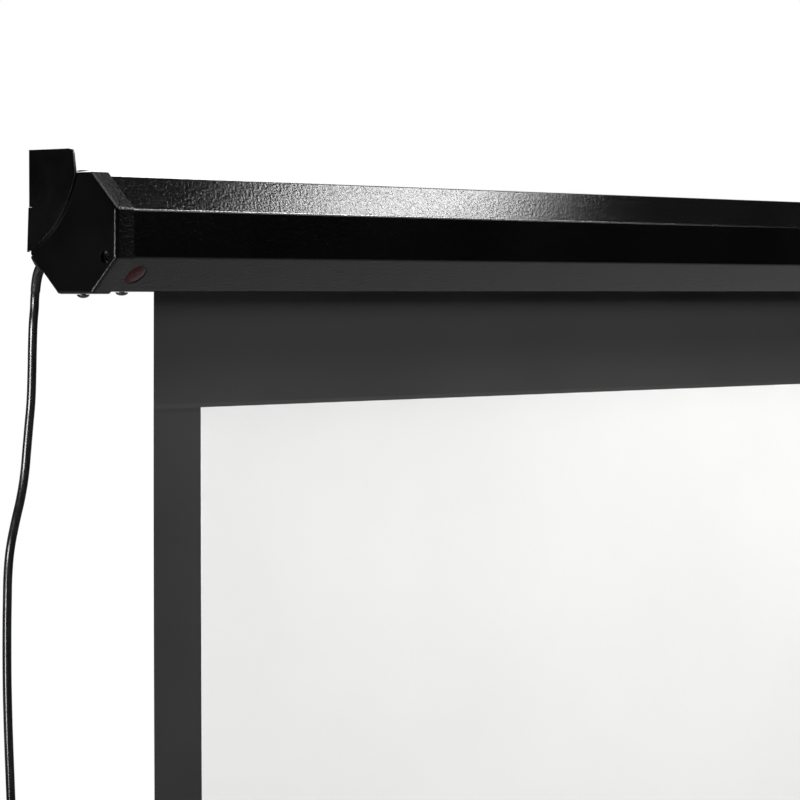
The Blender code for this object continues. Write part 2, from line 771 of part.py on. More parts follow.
def idler():
    """Plug, pin and bush at the roller's right end."""
    stop = ROLLER_INWARD - GAP
    flange = 0.003
    body_x = at_end(1, stop - 0.001 + 0.019)
    plug = plate(
        "idler_plug", [insert_outline()], 0.038, GREY_PLASTIC, (body_x, 0, 0), parent=ROLLER_AXIS
    )
    ring = [(0, -stop + flange), (ROLLER_RADIUS + 0.0008, -stop + flange)]
    ring += [(ROLLER_RADIUS + 0.0008, -stop), (0, -stop)]
    end_face = (at_end(1, 0), 0, 0)
    rim = turned("plug_rim", ring, None, end_face, outward(1), ROLLER_AXIS, 32)
    combine(plug, rim, "UNION")
    bore = rod_cutter(
        "pin_bore", PIN_RADIUS + GAP, 0.050, (at_end(1, 0.050), 0, 0), outward(1), ROLLER_AXIS
    )
    combine(plug, bore)
    for n in range(4):
        a = math.radians(45 + 90 * n)
        place = (at_end(1, 0.070), 0.0118 * math.cos(a), 0.0118 * math.sin(a))
        core = rod_cutter(f"plug_core_{n}", 0.0046, 0.050, place, outward(1), ROLLER_AXIS, 16)
        combine(plug, core)
    pin = [
        (0, -0.0062),
        (PIN_RADIUS - 0.0008, -0.0062),
        (PIN_RADIUS, -0.0070),
        (PIN_RADIUS, -0.0740),
        (0, -0.0740),
    ]
    turned("idler_pin", pin, ZINC, end_face, outward(1), ROLLER_AXIS, 24)
    plate_from = SUPPORT_FROM + SUPPORT_SHEET
    bush = [
        (PIN_RADIUS + GAP, -SUPPORT_FROM + 0.0006),
        (0.0078, -SUPPORT_FROM + 0.0006),
        (0.0078, -plate_from - GAP),
        (0.0105, -plate_from - GAP),
        (0.0105, -plate_from - 0.0026),
        (0.0075, -plate_from - 0.0032),
        (0.0075, -plate_from - 0.0100),
        (PIN_RADIUS + GAP, -plate_from - 0.0100),
    ]
    face = (at_end(1, 0), ROLLER_Y, 0)
    turned("idler_bush", bush, PALE_PLASTIC, face, outward(1), steps=24, ring=True)


def holes_in_supports(supports):
    """The motor's spigot, its screws and the way to the limit screws on the left; the bush on the right."""
    left_x, right_x = at_end(-1, SUPPORT_FROM), at_end(1, SUPPORT_FROM)
    spigot = rod_cutter("spigot_hole", 0.0083, 0.010, (left_x, ROLLER_Y, 0), outward(-1))
    combine(supports[-1], spigot)
    for name, up in (("upper", 1), ("lower", -1)):
        place = (left_x, ROLLER_Y, up * HEAD_SCREW_Z)
        hole = rod_cutter(f"motor_screw_{name}_hole", 0.0025, 0.010, place, outward(-1))
        combine(supports[-1], hole)
    way = plate(
        "limit_way", [rounded_rectangle(0.011, 0.0066, 0.0032)], 0.010, None, (left_x, LIMIT_Y, LIMIT_Z)
    )
    combine(supports[-1], way)
    bush = rod_cutter("bush_hole", 0.0081, 0.010, (right_x, ROLLER_Y, 0), outward(1))
    combine(supports[1], bush)


def limit_access_holes(caps):
    """Both caps come from one tool, so the hole beside the limit screws is in each."""
    for end in (-1, 1):
        place = (at_end(end, 0), LIMIT_Y, LIMIT_Z)
        hole = rod_cutter(f"access_hole_{side(end)}", LIMIT_HOLE, 0.010, place, outward(end))
        combine(caps[end], hole)


def fabric():
    """The safety wraps on the roller, and the hanging panels welded edge to edge."""
    x_from, x_to = at_end(-1, FABRIC_INSET), at_end(1, FABRIC_INSET)
    bm = bmesh.new()
    drawn_surface(bm, arc((0, 0), WRAP_RADIUS, 0, 350, 35), x_from, x_to, closed=True)
    wraps = add("fabric_wraps", mesh_from(bm, "fabric_wraps"), BLACK_FABRIC, parent=ROLLER_AXIS)
    solidify = wraps.modifiers.new("wall", "SOLIDIFY")
    solidify.thickness = WRAP_THICKNESS
    solidify.offset = -1

    def panel(name, left, right, top, bottom, paint):
        size = (right - left, FABRIC, top - bottom)
        block(name, size, paint, ((left + right) / 2, FABRIC_Y, (top + bottom) / 2))

    half, picture = FABRIC_WIDTH / 2, IMAGE_WIDTH / 2
    low = BAR_TOP - 0.0012
    panel("top_drop", -half, half, 0, IMAGE_TOP + GAP / 2, BLACK_FABRIC)
    edge_top, edge_bottom = IMAGE_TOP - GAP / 2, IMAGE_BOTTOM + GAP / 2
    seam = GAP / 2
    panel("picture_area", seam - picture, picture - seam, edge_top, edge_bottom, WHITE_SCREEN)
    panel("side_border_left", -half, -picture - seam, edge_top, edge_bottom, BLACK_FABRIC)
    panel("side_border_right", picture + seam, half, edge_top, edge_bottom, BLACK_FABRIC)
    panel("bottom_border", -half, half, IMAGE_BOTTOM - GAP / 2, low, BLACK_FABRIC)


def bar_outline():
    """The weight bar's section, heights from its top: shoulders, a round foot and the keder channel."""
    half, foot_z = BAR_HALF_DEPTH, BAR_HALF_DEPTH - BAR_HEIGHT
    cavity = KEDER_RADIUS + 0.0005
    mouth = math.degrees(math.asin(NECK / 2 / cavity))
    channel = arc((0, -KEDER_DEPTH), cavity, 90 + mouth, 450 - mouth, 16)
    shoulder = arc((0.0030, -0.0050), 0.0050, 90, 0, 4)
    foot = arc((0, foot_z), half, 0, -180, 14)
    other = [(-y, z) for y, z in reversed(shoulder)]
    return [(NECK / 2, 0), *shoulder, *foot, *other, (-NECK / 2, 0), *channel]


def bar_hollow(clear=0.0):
    inset = BAR_WALL + clear
    half, foot_z = BAR_HALF_DEPTH - inset, BAR_HALF_DEPTH - BAR_HEIGHT
    roof = -0.0085 - clear
    foot = arc((0, foot_z), half, 0, -180, 12)
    return [(half, roof), *foot, (-half, roof)]


def weight_bar():
    """An extruded bar whose top channel grips the keder rod in the fabric's hem, with a cap at each end."""
    length = FABRIC_WIDTH + 2 * BAR_OVERHANG
    loops = [bar_outline(), bar_hollow()]
    plate("weight_bar", loops, length, BLACK_BAR, (0, 0, 0), parent=BAR_AXIS)
    plate(
        "keder_rod",
        [arc((0, -KEDER_DEPTH), KEDER_RADIUS, 0, 330, 11)],
        length - 0.004,
        PALE_PLASTIC,
        (0, 0, 0),
        parent=BAR_AXIS,
    )
    thick = 0.003
    for end in (-1, 1):
        half, foot_z = BAR_HALF_DEPTH, BAR_HALF_DEPTH - BAR_HEIGHT
        shoulder = arc((0.0030, -0.0050), 0.0050, 90, 0, 4)
        foot = arc((0, foot_z), half, 0, -180, 14)
        outline = shoulder + foot + [(-y, z) for y, z in reversed(shoulder)]
        x = end * (length / 2 + GAP + thick / 2)
        cap = plate(
            f"bar_cap_{side(end)}", [outline], thick, BLACK_RUBBER, (x, 0, 0), parent=BAR_AXIS
        )
        x = end * (length / 2 - 0.0055)
        plug = plate(
            f"bar_plug_{side(end)}", [bar_hollow(GAP)], 0.014, None, (x, 0, 0), parent=BAR_AXIS
        )
        combine(cap, plug, "UNION")


def strain_relief(the_case, cap):
    """A moulded outlet on the lower rear slant, with a tapered boot that turns down beside the wall."""
    seat = Vector((at_end(-1, BOOT_INWARD), BOOT_Y, BOOT_Y - CAP_APOTHEM * math.sqrt(2)))
    out = Vector((0, math.sqrt(0.5), -math.sqrt(0.5)))
    inner = seat - out * 0.0032
    left = at_end(-1, 0)
    tip = Vector((at_end(-1, BOOT_TIP[0]), *BOOT_TIP[1:]))
    knots = [
        seat,
        (left + 0.0061, 0.0403, -0.0235),
        (left + 0.0043, 0.0411, -0.0279),
        (left + 0.0028, 0.0413, -0.0340),
        tip,
    ]
    route = [inner, *smooth_route(knots, 11)]
    taper = [BOOT_RADIUS - 0.0004 * i / 10 for i in range(11)]
    boot = made_solid(tube("strain_relief", route, [BOOT_RADIUS, *taper], BLACK_RUBBER, resolution=3))
    finish(boot.data, 50)
    slant = -(CAP_APOTHEM + GAP) * math.sqrt(2)
    top, foot = WALL - 0.0006, WALL - 0.0108
    outline = [(top, top + slant), (foot, foot + slant), (foot, -0.0260), (0.0368, -0.0260)]
    outline += [(0.0420, -0.0214), (WALL - 0.0004, -0.0166)]
    outlet = plate("cord_outlet", [outline], OUTLET_WIDTH, None, (seat.x, 0, 0))
    rounding = outlet.modifiers.new("edges", "BEVEL")
    rounding.width = 0.0004
    rounding.limit_method = "ANGLE"
    rounding.angle_limit = math.radians(40)
    combine(boot, outlet, "UNION")
    hole = rod_cutter("cord_hole", BOOT_RADIUS + 0.0004, 0.012, seat, REAR_SLANT)
    combine(the_case, hole)
    combine(cap, hole)
    return inner, tip, (route[-1] - route[-2]).normalized()


def mains_cord(tip, way):
    """The free cord: down beside the wall, a slow bow to the left, then straight to its plug."""
    start = tip + way * GAP
    left = at_end(-1, 0)
    knots = [
        start,
        start + way * 0.0030,
        (left + 0.0007, 0.0411, -0.0520),
        (left - 0.0006, 0.0410, -0.0625),
        (left - 0.0015, 0.0410, -0.0796),
        (left - 0.0021, 0.0410, -0.0982),
        (left - 0.0032, 0.0410, -0.1196),
        (left - 0.0053, 0.0410, -0.1367),
        (left - 0.0074, 0.0410, -0.1538),
        (left - 0.0096, 0.0410, -0.1708),
        (left - 0.0134, 0.0410, -0.1878),
        (left - 0.0187, 0.0410, -0.2046),
        (left - 0.0233, 0.0410, -0.2215),
        (left - 0.0258, 0.0410, -0.2384),
        (left - 0.0268, 0.0410, -0.2620),
        (left - 0.0273, 0.0410, -0.2881),
        (left - 0.0272, 0.0408, -0.3300),
        (left - 0.0252, 0.0399, -0.4000),
        (left - 0.0214, 0.0380, -0.5100),
        (left - 0.0184, 0.0352, -0.6600),
        (left - 0.0174, 0.0326, -0.8200),
        (left - 0.0180, 0.0308, -1.0000),
        (left - 0.0192, 0.0300, -1.1800),
        (left - 0.0200, 0.0300, -1.3500),
        (left - 0.0202, 0.0300, -1.4500),
    ]
    laid = smooth_route(knots, 600)
    reached = sum((b - a).length for a, b in zip(laid, laid[1:]))
    end = laid[-1] + Vector((0, 0, reached - CORD_LENGTH))
    route = smooth_route([*knots, end], CORD_POINTS, 0.12)
    tube("mains_cord", route, CORD_RADIUS, BLACK_RUBBER)
    length = sum((b - a).length for a, b in zip(route, route[1:]))
    print(f"mains cord {length:.4f} m, ends at {tuple(round(v, 4) for v in end)}")
    return end


def plug(end):
    """A moulded earthed plug with two flat blades and a round earth pin, hanging from the cord."""
    top = end.z - GAP
    boot = [
        (0, 0),
        (0.0038, 0),
        (0.0042, -0.0010),
        (0.0052, -0.0110),
        (0.0066, -0.0180),
        (0.0095, -0.0240),
        (0.0095, -0.0300),
        (0, -0.0300),
    ]
    body_height = 0.022
    centre = (end.x, end.y, top - 0.0215 - body_height / 2)
    outline = rounded_rectangle(0.027, 0.022, 0.007)
    body = plate("plug", [outline], body_height, BLACK_RUBBER, centre, UPRIGHT)
    bevel = body.modifiers.new("edges", "BEVEL")
    bevel.width = 0.002
    bevel.segments = 2
    bevel.limit_method = "ANGLE"
    bevel.angle_limit = math.radians(50)
    place = (end.x, end.y, top)
    combine(body, turned("plug_boot", boot, None, place, UPRIGHT, steps=24), "UNION")
    face = centre[2] - body_height / 2 - GAP
    for name, across in (("left", -0.00635), ("right", 0.00635)):
        blade = (end.x + across, end.y - 0.003, face - 0.0086)
        block(f"plug_blade_{name}", (0.0015, 0.0063, 0.0172), BRASS, blade, edge=0.0003)
    pin = [(0, 0), (0.0024, 0), (0.0024, -0.0185), (0.0014, -0.0205), (0, -0.0210)]
    turned("plug_earth_pin", pin, BRASS, (end.x, end.y + 0.0074, face), UPRIGHT, steps=16)


def control_box():
    """The motor's control unit, on the rear wall behind the roller."""
    place = (at_end(-1, 0.108), 0.0270, 0)
    block("control_box", (0.100, 0.021, 0.031), GREY_PLASTIC, place, edge=0.002)


def leads(boot_inner):
    """The leads between the cord's inlet, the control box, the motor and the receiver."""
    x = at_end(-1, 0)
    box_face = at_end(-1, 0.058 - GAP)
    inward = Vector((0, -math.sqrt(0.5), math.sqrt(0.5)))
    inlet = boot_inner + inward * GAP
    mains = [
        inlet,
        inlet + inward * 0.002,
        inlet + inward * 0.004,
        (x + 0.017, 0.0215, -0.0195),
        (x + 0.030, 0.0232, -0.0130),
        (x + 0.045, 0.0255, -0.0075),
        (x + 0.054, 0.0262, -0.0070),
        (box_face, 0.0262, -0.0070),
    ]
    tube("mains_lead", smooth_route(mains, 22, 0.6), 0.0020, BLACK_RUBBER)
    head_way = Vector((0, 0.82, 0.57)).normalized()
    head_face = Vector((at_end(-1, 0.019), ROLLER_Y, 0)) + head_way * (HEAD_RADIUS + GAP)
    motor_lead = [
        (box_face, 0.0250, 0.0100),
        (x + 0.054, 0.0250, 0.0101),
        (x + 0.040, 0.0225, 0.0150),
        (x + 0.027, 0.0150, 0.0180),
        head_face + head_way * 0.003,
        head_face,
    ]
    tube("motor_lead", smooth_route(motor_lead, 16), 0.0018, BLACK_RUBBER)
    edge = at_end(-1, WINDOW_INWARD + 0.011 + GAP)
    board = -(APOTHEM - 0.0078) * math.sqrt(0.5)
    receiver = [
        (box_face, 0.0320, -0.0110),
        (x + 0.055, 0.0320, -0.0111),
        (x + 0.051, 0.0260, -0.0200),
        (x + 0.050, 0.0140, -0.0290),
        (x + 0.050, -0.0010, -0.0325),
        (x + 0.050, -0.0140, -0.0310),
        (edge + 0.004, board + 0.001, board - 0.001),
        (edge + 0.001, board, board),
        (edge, board, board),
    ]
    tube("receiver_lead", smooth_route(receiver, 26), 0.0012, BLACK_RUBBER)


def build():
    the_case = case()
    caps = {end: end_cap(end) for end in (-1, 1)}
    brackets = {end: wall_bracket(end) for end in (-1, 1)}
    supports = {-1: support(-1, "motor_support"), 1: support(1, "idler_support")}
    screws_through_case(the_case, caps, supports)
    screws_into_brackets(caps, brackets)
    limit_access_holes(caps)
    infrared_window(the_case)
    receiver_board()
    tube_end = motor()
    holes_in_supports(supports)
    limit_screws()
    roller_tube()
    crown_ring()
    drive_wheel(tube_end)
    idler()
    fabric()
    weight_bar()
    boot_inner, tip, tip_way = strain_relief(the_case, caps[-1])
    plug(mains_cord(tip, tip_way))
    control_box()
    leads(boot_inner)


build()
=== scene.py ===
import math

import bmesh
import bpy
from mathutils import Matrix, Vector


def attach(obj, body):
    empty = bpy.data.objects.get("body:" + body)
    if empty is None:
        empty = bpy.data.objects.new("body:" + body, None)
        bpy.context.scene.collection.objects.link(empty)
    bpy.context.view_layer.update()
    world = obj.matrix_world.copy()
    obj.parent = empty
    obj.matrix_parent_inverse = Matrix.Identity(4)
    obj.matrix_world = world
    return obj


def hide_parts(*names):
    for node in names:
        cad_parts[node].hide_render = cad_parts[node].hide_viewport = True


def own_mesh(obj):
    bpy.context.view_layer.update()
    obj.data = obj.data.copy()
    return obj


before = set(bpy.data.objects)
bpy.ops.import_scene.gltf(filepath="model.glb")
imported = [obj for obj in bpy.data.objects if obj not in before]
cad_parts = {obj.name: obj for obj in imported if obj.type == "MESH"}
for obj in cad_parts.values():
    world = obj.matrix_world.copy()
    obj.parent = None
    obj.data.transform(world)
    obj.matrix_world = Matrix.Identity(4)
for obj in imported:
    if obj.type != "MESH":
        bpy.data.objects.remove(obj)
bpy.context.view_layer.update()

bpy.ops.object.select_all(action="DESELECT")

# Camera: at the front left, a little below the case, looking along the screen to the right.
# It stands where the photograph was taken from, with the same narrow lens.
camera_place = (-2.84828, -1.70864, -0.08653)
yaw, pitch = math.radians(49.6662), math.radians(1.91496)
level = math.cos(pitch)
looking = Vector((math.sin(yaw) * level, math.cos(yaw) * level, -math.sin(pitch)))
bpy.ops.object.camera_add(location=camera_place)
camera = bpy.context.object
camera.rotation_euler = looking.to_track_quat("-Z", "Y").to_euler()
camera.data.sensor_width = 36
camera.data.lens = 146.3296
camera.data.clip_start, camera.data.clip_end = 0.05, 60
bpy.context.scene.camera = camera

# Mains cord: a round black PVC lead, 6.6 mm thick and 1.5 m long, drawn smooth and slightly glossy.
# It leaves a boot behind the left cap and hangs beside the wall in a slow bow.
cord_points = [
    (-1.24422, -0.00478, -0.08650),
    (-1.24483, -0.00486, -0.09026),
    (-1.2453, -0.0049, -0.0980),
    (-1.2466, -0.0050, -0.1085),
    (-1.2475, -0.0050, -0.1256),
    (-1.2481, -0.0050, -0.1442),
    (-1.2492, -0.0050, -0.1656),
    (-1.2513, -0.0050, -0.1827),
    (-1.2534, -0.0050, -0.1998),
    (-1.2556, -0.0050, -0.2168),
    (-1.2594, -0.0050, -0.2338),
    (-1.2647, -0.0050, -0.2506),
    (-1.2693, -0.0050, -0.2675),
    (-1.2718, -0.0050, -0.2844),
    (-1.2728, -0.0050, -0.3080),
    (-1.2733, -0.0050, -0.3341),
    (-1.2732, -0.0052, -0.3760),
    (-1.2712, -0.0061, -0.4460),
    (-1.2674, -0.0080, -0.5560),
    (-1.2644, -0.0108, -0.7060),
    (-1.2634, -0.0134, -0.8660),
    (-1.2640, -0.0152, -1.0460),
    (-1.2652, -0.0160, -1.2260),
    (-1.2660, -0.0160, -1.3960),
    (-1.2662, -0.0160, -1.4960),
    (-1.2662, -0.0160, -1.5844),
]


# A noise lies almost wholly between these two values.
noise_low, noise_high = 0.35, 0.65


def paint(name):
    """A new material, with its tree and its shader."""
    made = bpy.data.materials.new(name)
    made.use_nodes = True
    return made, made.node_tree, made.node_tree.nodes["Principled BSDF"]


def grain(tree, scale, detail=2.0, stretch=(1, 1, 1), source="Object"):
    """A noise over the piece, its scale in waves to the metre."""
    place = tree.nodes.new("ShaderNodeTexCoord")
    mapping = tree.nodes.new("ShaderNodeMapping")
    mapping.inputs["Scale"].default_value = stretch
    noise = tree.nodes.new("ShaderNodeTexNoise")
    noise.inputs["Scale"].default_value = scale
    noise.inputs["Detail"].default_value = detail
    tree.links.new(place.outputs[source], mapping.inputs["Vector"])
    tree.links.new(mapping.outputs["Vector"], noise.inputs["Vector"])
    return noise.outputs["Fac"]


def between(tree, value, low, high, start=noise_low, stop=noise_high):
    """A value carried over from one range to another."""
    change = tree.nodes.new("ShaderNodeMapRange")
    change.inputs["From Min"].default_value = start
    change.inputs["From Max"].default_value = stop
    change.inputs["To Min"].default_value = low
    change.inputs["To Max"].default_value = high
    tree.links.new(value, change.inputs["Value"])
    return change.outputs["Result"]


def tint(tree, value, dark, light):
    """A colour between two shades, by a noise."""
    ramp = tree.nodes.new("ShaderNodeValToRGB")
    ramp.color_ramp.elements[0].position = noise_low
    ramp.color_ramp.elements[1].position = noise_high
    ramp.color_ramp.elements[0].color = (*dark, 1)
    ramp.color_ramp.elements[1].color = (*light, 1)
    tree.links.new(value, ramp.inputs["Fac"])
    return ramp.outputs["Color"]


def relief(tree, height, strength, depth, under=None):
    """Fine relief, depth in metres, over any relief under it."""
    bump = tree.nodes.new("ShaderNodeBump")
    bump.inputs["Strength"].default_value = strength
    bump.inputs["Distance"].default_value = depth
    tree.links.new(height, bump.inputs["Height"])
    if under is not None:
        tree.links.new(under, bump.inputs["Normal"])
    return bump.outputs["Normal"]


def set_finish(shader, colour=None, roughness=None, surface=None):
    """Leads the colour, the roughness and the relief that are given to a shader."""
    links = shader.id_data.links
    for value, socket in ((colour, "Base Color"), (roughness, "Roughness"), (surface, "Normal")):
        if value is not None:
            links.new(value, shader.inputs[socket])


cord_radius = 0.0033
line = bpy.data.curves.new("mains_lead_line", "CURVE")
line.dimensions = "3D"
line.bevel_depth = cord_radius
line.bevel_resolution = 4
line.resolution_u = 4
line.use_fill_caps = True
spline = line.splines.new("BEZIER")
spline.bezier_points.add(len(cord_points) - 1)
for point, place in zip(spline.bezier_points, cord_points):
    point.co = place
    point.handle_left_type = point.handle_right_type = "AUTO"
cord = bpy.data.objects.new("hanging_lead", line)
bpy.context.scene.collection.objects.link(cord)

lead_pvc, tree, shader = paint("lead_pvc")
shader.inputs["Specular IOR Level"].default_value = 0.5
streaks = grain(tree, 420, 3.0, (1, 1, 0.12))
set_finish(
    shader,
    colour=tint(tree, streaks, (0.0055, 0.0055, 0.006), (0.011, 0.011, 0.0115)),
    roughness=between(tree, streaks, 0.18, 0.24),
    surface=relief(tree, streaks, 0.08, 0.0002),
)
cord.data.materials.append(lead_pvc)
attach(cord, "case_body")
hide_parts("mains_cord")

# Plug, cord outlet and bar ends: soft black PVC, moulded with a fine spark-eroded grain.
# The plug is moulded over the cord's end, with grip rings; its blades and earth pin are brass.
moulded_pvc, tree, shader = paint("moulded_pvc")
shader.inputs["Specular IOR Level"].default_value = 0.35
eroded = grain(tree, 2600, 2.0)
set_finish(
    shader,
    colour=tint(tree, grain(tree, 60, 3.0), (0.0045, 0.0045, 0.005), (0.009, 0.009, 0.0095)),
    roughness=between(tree, eroded, 0.42, 0.56),
    surface=relief(tree, eroded, 0.3, 0.0002),
)

pin_brass, tree, shader = paint("pin_brass")
shader.inputs["Metallic"].default_value = 1.0
drawn = grain(tree, 700, 4.0, (1, 1, 0.06))
set_finish(
    shader,
    colour=tint(tree, drawn, (0.58, 0.42, 0.19), (0.76, 0.59, 0.31)),
    roughness=between(tree, drawn, 0.22, 0.38),
    surface=relief(tree, drawn, 0.2, 0.0001),
)


def finish_shading(made, angle=35):
    """Smooth curves, with the flats kept flat beside them."""
    bpy.ops.object.select_all(action="DESELECT")
    made.select_set(True)
    bpy.context.view_layer.objects.active = made
    bpy.ops.object.shade_smooth_by_angle(angle=math.radians(angle))
    flats = made.modifiers.new("flats", "WEIGHTED_NORMAL")
    flats.keep_sharp = True
    flats.weight = 80
    bpy.ops.object.modifier_apply(modifier=flats.name)


def stand_for(made, material, node, body):
    """Paints a piece that stands for a CAD node, gives it its body, and hides the node."""
    made.data.materials.clear()
    made.data.materials.append(material)
    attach(made, body)
    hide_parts(node)


def eased(node, name, edge, sharp_behind=1.0):
    """A welded copy of a CAD node, its edges rounded but for those behind the y given."""
    sharp_angle = math.radians(40)
    made = bpy.data.objects.new(name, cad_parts[node].data.copy())
    bpy.context.scene.collection.objects.link(made)
    bpy.ops.object.select_all(action="DESELECT")
    made.select_set(True)
    bpy.context.view_layer.objects.active = made
    bpy.ops.object.mode_set(mode="EDIT")
    bpy.ops.mesh.select_all(action="SELECT")
    bpy.ops.mesh.remove_doubles(threshold=0.00002)
    bpy.ops.mesh.dissolve_limited(angle_limit=math.radians(1))
    bpy.ops.mesh.normals_make_consistent(inside=False)
    bpy.ops.object.mode_set(mode="OBJECT")
    work = bmesh.new()
    work.from_mesh(made.data)
    weight = work.edges.layers.float.new("bevel_weight_edge")
    for edge_line in work.edges:
        middle = (edge_line.verts[0].co + edge_line.verts[1].co) / 2
        sharp = edge_line.calc_face_angle(0.0) > sharp_angle
        edge_line[weight] = 1.0 if sharp and middle.y < sharp_behind else 0.0
    work.to_mesh(made.data)
    work.free()
    ease = made.modifiers.new("eased edges", "BEVEL")
    ease.width = edge
    ease.segments = 2
    ease.limit_method = "WEIGHT"
    bpy.ops.object.modifier_apply(modifier=ease.name)
    finish_shading(made)
    return made


def ring_at(centre, radius, thickness):
    """A round ring that lies flat, for a moulded rib."""
    bpy.ops.object.select_all(action="DESELECT")
    bpy.ops.mesh.primitive_torus_add(
        location=centre,
        major_radius=radius,
        minor_radius=thickness,
        major_segments=40,
        minor_segments=12,
    )
    return bpy.context.object


def joined(first, others):
    """Several meshes in one piece."""
    bpy.ops.object.select_all(action="DESELECT")
    for piece in others:
        piece.select_set(True)
    first.select_set(True)
    bpy.context.view_layer.objects.active = first
    bpy.ops.object.join()
    bpy.ops.object.transform_apply(location=True, rotation=True, scale=True)
    return first


def neck_radius(depth):
    """The plug's radius at a depth below its top: a slim neck, then a wider taper."""
    if depth < 0.011:
        return 0.0041 + (depth - 0.001) * 0.098
    return 0.0052 + (depth - 0.011) * 0.2


plug = eased("plug", "moulded_plug", 0.0004)
plug_top = Vector((-1.2662, -0.0160, -1.5847))
rib_count, first_rib, rib_pitch, rib_thickness = 6, 0.0025, 0.0028, 0.0006
ribs = []
for step in range(rib_count):
    depth = first_rib + rib_pitch * step
    ribs.append(ring_at(plug_top - Vector((0, 0, depth)), neck_radius(depth), rib_thickness))
plug = joined(plug, ribs)
bpy.ops.object.shade_smooth_by_angle(angle=math.radians(35))
stand_for(plug, moulded_pvc, "plug", "case_body")
outlet = eased("strain_relief", "cord_outlet", 0.0002)
stand_for(outlet, moulded_pvc, "strain_relief", "case_body")
for node in ("plug_blade_left", "plug_blade_right", "plug_earth_pin"):
    pin = eased(node, f"brass_{node}", 0.0001)
    stand_for(pin, pin_brass, node, "case_body")

# Case: one long octagonal box folded from 1 mm steel, hemmed at the slot in its bottom.
# Its black powder coat has a fine orange peel that sparkles where a lamp catches it.
powder_coat, tree, shader = paint("powder_coat")
shader.inputs["Specular IOR Level"].default_value = 0.12
peel = grain(tree, 500, 2.5)
clouds = grain(tree, 9, 4.0)
set_finish(
    shader,
    colour=tint(tree, clouds, (0.0012, 0.0012, 0.0014), (0.0022, 0.0022, 0.0024)),
    roughness=between(tree, peel, 0.11, 0.15),
    surface=relief(tree, peel, 0.62, 0.0003),
)
case = eased("case", "folded_case", 0.0002)
stand_for(case, powder_coat, "case", "case_body")

# End caps: pressed from 1.2 mm steel, an octagonal face with a rounded rim, and a flange that
# slides over the case. Satin black paint with a slight peel; the left one has the limit key's hole.
cap_paint, tree, shader = paint("cap_paint")
shader.inputs["Specular IOR Level"].default_value = 0.13
peel = grain(tree, 500, 3.0)
clouds = grain(tree, 22, 4.0)
set_finish(
    shader,
    colour=tint(tree, clouds, (0.0010, 0.0011, 0.0012), (0.0019, 0.0019, 0.0021)),
    roughness=between(tree, clouds, 0.18, 0.24),
    surface=relief(tree, peel, 0.8, 0.0003),
)
for side in ("left", "right"):
    cap = eased(f"end_cap_{side}", f"pressed_cap_{side}", 0.0003)
    stand_for(cap, cap_paint, f"end_cap_{side}", "case_body")

# Wall brackets: bent from 2 mm steel sheet, an end plate with a long curved edge and a flange
# with a keyhole, painted satin black. They hold the case's ends, and hang on one wall screw each.
bracket_paint, tree, shader = paint("bracket_paint")
shader.inputs["Specular IOR Level"].default_value = 0.22
peel = grain(tree, 900, 2.0)
clouds = grain(tree, 30, 4.0)
set_finish(
    shader,
    colour=tint(tree, clouds, (0.0009, 0.0009, 0.0010), (0.0017, 0.0017, 0.0019)),
    roughness=between(tree, clouds, 0.22, 0.30),
    surface=relief(tree, peel, 0.4, 0.0002),
)
for side in ("left", "right"):
    bracket = eased(f"wall_bracket_{side}", f"bent_bracket_{side}", 0.0005, sharp_behind=-0.0035)
    stand_for(bracket, bracket_paint, f"wall_bracket_{side}", "case_body")

# Screws of the case: blackened steel, domed heads with a cross recess, turned and cold-headed.
# One above and one below each cap, and one under the foot of each support.
black_oxide, tree, shader = paint("black_oxide")
shader.inputs["Metallic"].default_value = 0.8
turned = grain(tree, 1800, 3.0)
set_finish(
    shader,
    colour=tint(tree, turned, (0.015, 0.015, 0.016), (0.035, 0.035, 0.036)),
    roughness=between(tree, turned, 0.26, 0.42),
    surface=relief(tree, turned, 0.2, 0.0001),
)


def cut_away(made, cutter):
    """Takes one mesh out of another, and the cutter out of the scene."""
    cut = made.modifiers.new("cut", "BOOLEAN")
    cut.operation = "DIFFERENCE"
    cut.solver = "EXACT"
    cut.object = cutter
    bpy.ops.object.select_all(action="DESELECT")
    made.select_set(True)
    bpy.context.view_layer.objects.active = made
    bpy.ops.object.modifier_apply(modifier=cut.name)
    bpy.data.objects.remove(cutter, do_unlink=True)


def domed_screw(name, radius, rise, shank, length):
    """A screw that stands on z = 0, its head up, with a cross recess in the head."""
    head_foot, overlap = 0.0001, 0.0002
    bpy.ops.mesh.primitive_uv_sphere_add(segments=40, ring_count=24, radius=radius)
    head = bpy.context.object
    head.name = name
    head.scale.z = rise / radius
    bpy.ops.object.transform_apply(location=True, rotation=True, scale=True)
    bpy.ops.object.mode_set(mode="EDIT")
    bpy.ops.mesh.select_all(action="SELECT")
    bpy.ops.mesh.bisect(
        plane_co=(0, 0, head_foot), plane_no=(0, 0, 1), clear_inner=True, use_fill=True
    )
    bpy.ops.object.mode_set(mode="OBJECT")
    for turn in (0, math.pi / 2):
        bpy.ops.mesh.primitive_cube_add(size=1, location=(0, 0, rise), rotation=(0, 0, turn))
        arm = bpy.context.object
        arm.scale = (radius * 0.95, radius * 0.2, rise * 0.9)
        bpy.ops.object.transform_apply(location=True, rotation=True, scale=True)
        cut_away(head, arm)
    bpy.ops.mesh.primitive_cylinder_add(
        vertices=24, radius=shank, depth=length, location=(0, 0, overlap - length / 2)
    )
    return joined(head, [bpy.context.object])


case_end = 1.246
head_radius, shank_radius, shank_length = 0.0046, 0.002, 0.0070
